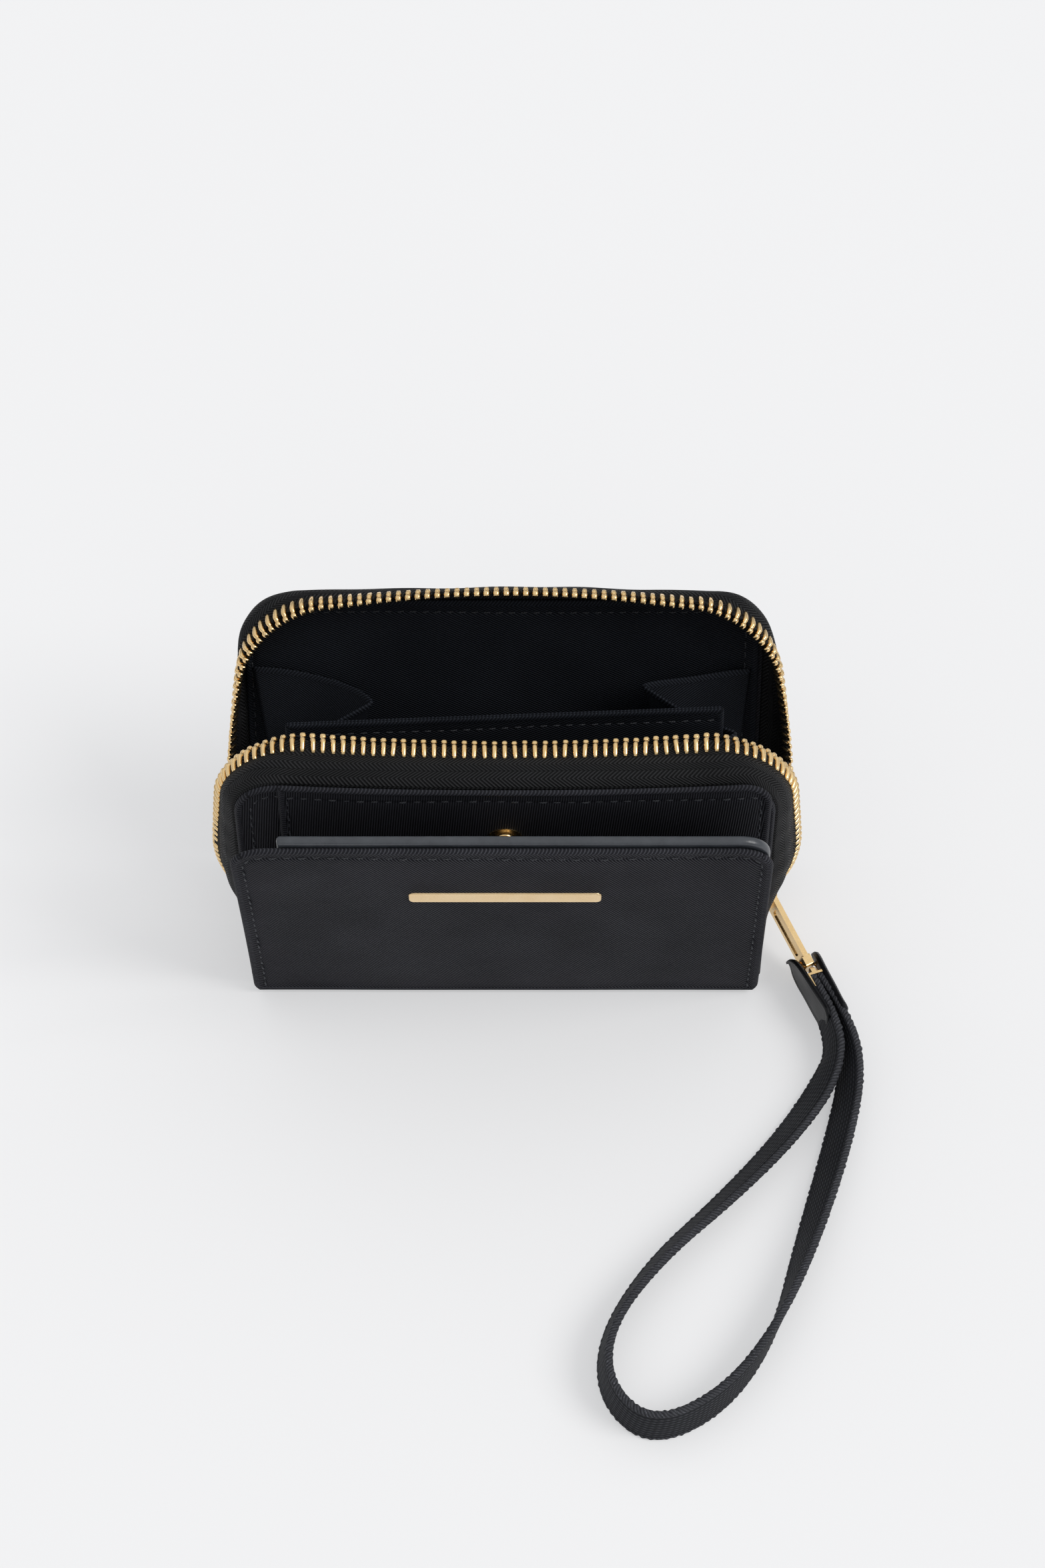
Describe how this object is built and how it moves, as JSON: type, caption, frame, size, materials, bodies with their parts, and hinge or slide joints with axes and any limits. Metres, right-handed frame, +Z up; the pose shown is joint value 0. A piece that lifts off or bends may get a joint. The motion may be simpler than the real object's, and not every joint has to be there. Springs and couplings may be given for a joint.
{
  "type": "zippered pouch",
  "caption": "Black nylon zip-around purse standing open, with a snap flap over a front card pocket, a pleated inside and a webbing wrist loop on the zip pull.",
  "frame": {"origin": "on the underside of the base, midway between the bottom edges of the two halves", "axes": "+X to the wearer's right along the purse, +Y towards its back, +Z up"},
  "size_m": [0.1413, 0.1706, 0.0828],
  "materials": {
    "twill": "black nylon twill",
    "lining": "black nylon lining twill",
    "zip_tape": "black herringbone zip tape",
    "gold_metal": "polished light gold plating",
    "leather": "smooth black leather",
    "webbing": "ribbed black webbing",
    "board": "plain stiffener board"
  },
  "bodies": {
    "base": {"base_panel": "twill", "base_stiffener": "board", "base_lining": "lining", "zip_end_tab_left": "twill", "zip_end_tab_right": "twill", "zip_bottom_stop": "gold_metal", "zip_top_stops": "gold_metal", "gusset_left": "lining", "gusset_right": "lining"},
    "front_half": {"front_panel": "twill", "front_stiffener": "board", "front_lining": "lining", "card_pocket": "twill", "snap_stud": "gold_metal", "snap_stud_rivet": "gold_metal", "zip_tape_front": "zip_tape", "zip_teeth_front": "gold_metal"},
    "back_half": {"back_panel": "twill", "back_stiffener": "board", "back_lining": "lining", "zip_tape_back": "zip_tape", "zip_teeth_back": "gold_metal"},
    "flap": {"flap_panel": "twill", "flap_stiffener": "board", "flap_slot_panel": "leather", "snap_socket": "gold_metal", "snap_socket_rivet": "gold_metal", "badge_bar": "gold_metal"},
    "divider": {"divider_front_leaf": "lining", "divider_back_leaf": "lining"},
    "slider": {"slider_body": "gold_metal", "slider_crown": "gold_metal"},
    "pull": {"pull_ring": "gold_metal", "zip_pull": "gold_metal", "link_ring": "gold_metal"},
    "strap": {"strap_clamp": "gold_metal", "strap_tab_left": "leather", "strap_tab_right": "leather", "wrist_strap": "webbing"}
  },
  "joints": [
    {"name": "back_half_hinge", "type": "hinge", "parent": "base", "child": "back_half", "pos_m": [0, 0.0175, 0], "axis": [1, 0, 0], "range_deg": [-30, 18], "deforming": ["zip_tape_back", "zip_teeth_back", "gusset_left"]},
    {"name": "front_half_hinge", "type": "hinge", "parent": "base", "child": "front_half", "pos_m": [0, -0.0165, 0], "axis": [1, 0, 0], "range_deg": [-11, 2.5], "deforming": ["zip_tape_front", "zip_teeth_front", "gusset_right"]},
    {"name": "flap_hinge", "type": "hinge", "parent": "base", "child": "flap", "pos_m": [0, -0.0205, 0], "axis": [1, 0, 0], "range_deg": [-4, 50]},
    {"name": "divider_tilt", "type": "hinge", "parent": "base", "child": "divider", "pos_m": [0, 0.002, 0], "axis": [1, 0, 0], "range_deg": [-13, 8]},
    {"name": "slider_run", "type": "slide", "parent": "base", "child": "slider", "axis": [0, 0, 1], "range_m": [0, 0.006]},
    {"name": "pull_swing", "type": "hinge", "parent": "slider", "child": "pull", "pos_m": [0.058, -0.0015, 0.0115], "axis": [0, 0, 1], "range_deg": [-3, 65]},
    {"name": "strap_sway", "type": "hinge", "parent": "pull", "child": "strap", "pos_m": [0.06789, -0.01911, 0.00608], "axis": [0, 0, 1], "range_deg": [-12, 12]}
  ],
  "couplings": [
    {"joint": "divider_tilt", "follows": "back_half_hinge", "ratio": 0.42}
  ]
}
